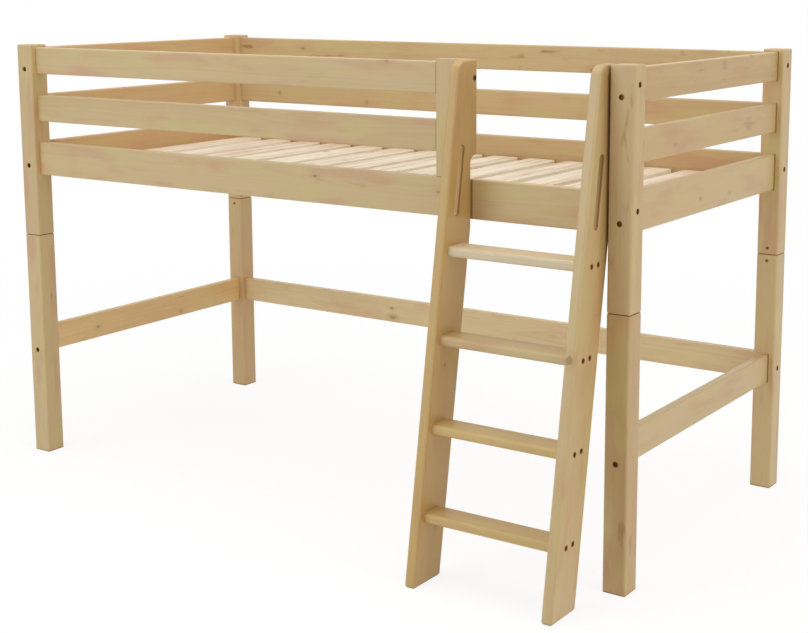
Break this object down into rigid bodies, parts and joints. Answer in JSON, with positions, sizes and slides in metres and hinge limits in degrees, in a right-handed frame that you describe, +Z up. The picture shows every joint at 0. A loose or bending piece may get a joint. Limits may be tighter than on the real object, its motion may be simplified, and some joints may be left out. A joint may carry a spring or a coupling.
{
  "type": "loft bed",
  "caption": "Mid-height wooden loft bed with guard rails on all sides, a slatted base and a slanted ladder bolted to the front beside an entry gap.",
  "frame": {"origin": "middle of the whole footprint, ladder included, on the floor", "axes": "+X along the bed towards the ladder end, +Y from the ladder side to the back, +Z up"},
  "size_m": [2.09, 1.2324, 1.28],
  "materials": {
    "pine": "clear satin lacquer",
    "slat_pine": "raw planed",
    "steel": "dull zinc"
  },
  "bodies": {
    "root": {"front_left_post": "pine", "front_left_leg": "pine", "front_right_post": "pine", "front_right_leg": "pine", "back_left_post": "pine", "back_left_leg": "pine", "back_right_post": "pine", "back_right_leg": "pine", "front_guard_rail_top": "pine", "front_guard_rail_mid": "pine", "front_side_rail": "pine", "back_guard_rail_top": "pine", "back_guard_rail_mid": "pine", "back_side_rail": "pine", "back_stretcher": "pine", "left_guard_rail_top": "pine", "left_guard_rail_mid": "pine", "left_end_rail": "pine", "left_stretcher": "pine", "right_guard_rail_top": "pine", "right_guard_rail_mid": "pine", "right_end_rail": "pine", "right_stretcher": "pine", "short_guard_post": "pine", "ladder_stringer_left": "pine", "ladder_stringer_right": "pine", "ladder_tread_1": "pine", "ladder_tread_2": "pine", "ladder_tread_3": "pine", "ladder_tread_4": "pine", "front_slat_ledger": "pine", "back_slat_ledger": "pine", "slat_01": "slat_pine", "slat_02": "slat_pine", "slat_03": "slat_pine", "slat_04": "slat_pine", "slat_05": "slat_pine", "slat_06": "slat_pine", "slat_07": "slat_pine", "slat_08": "slat_pine", "slat_09": "slat_pine", "slat_10": "slat_pine", "slat_11": "slat_pine", "slat_12": "slat_pine", "slat_13": "slat_pine", "slat_14": "slat_pine", "slat_15": "slat_pine", "bolt_front_left_y_1": "steel", "bolt_front_left_y_2": "steel", "bolt_front_left_y_3": "steel", "bolt_front_right_y_1": "steel", "bolt_front_right_y_2": "steel", "bolt_front_right_y_3": "steel", "bolt_front_right_x_2": "steel", "bolt_back_right_x_1": "steel", "bolt_back_right_x_2": "steel", "bolt_back_right_x_3": "steel", "bolt_ladder_left": "steel", "bolt_ladder_right": "steel", "ladder_spacer": "steel"}
  },
  "joints": []
}
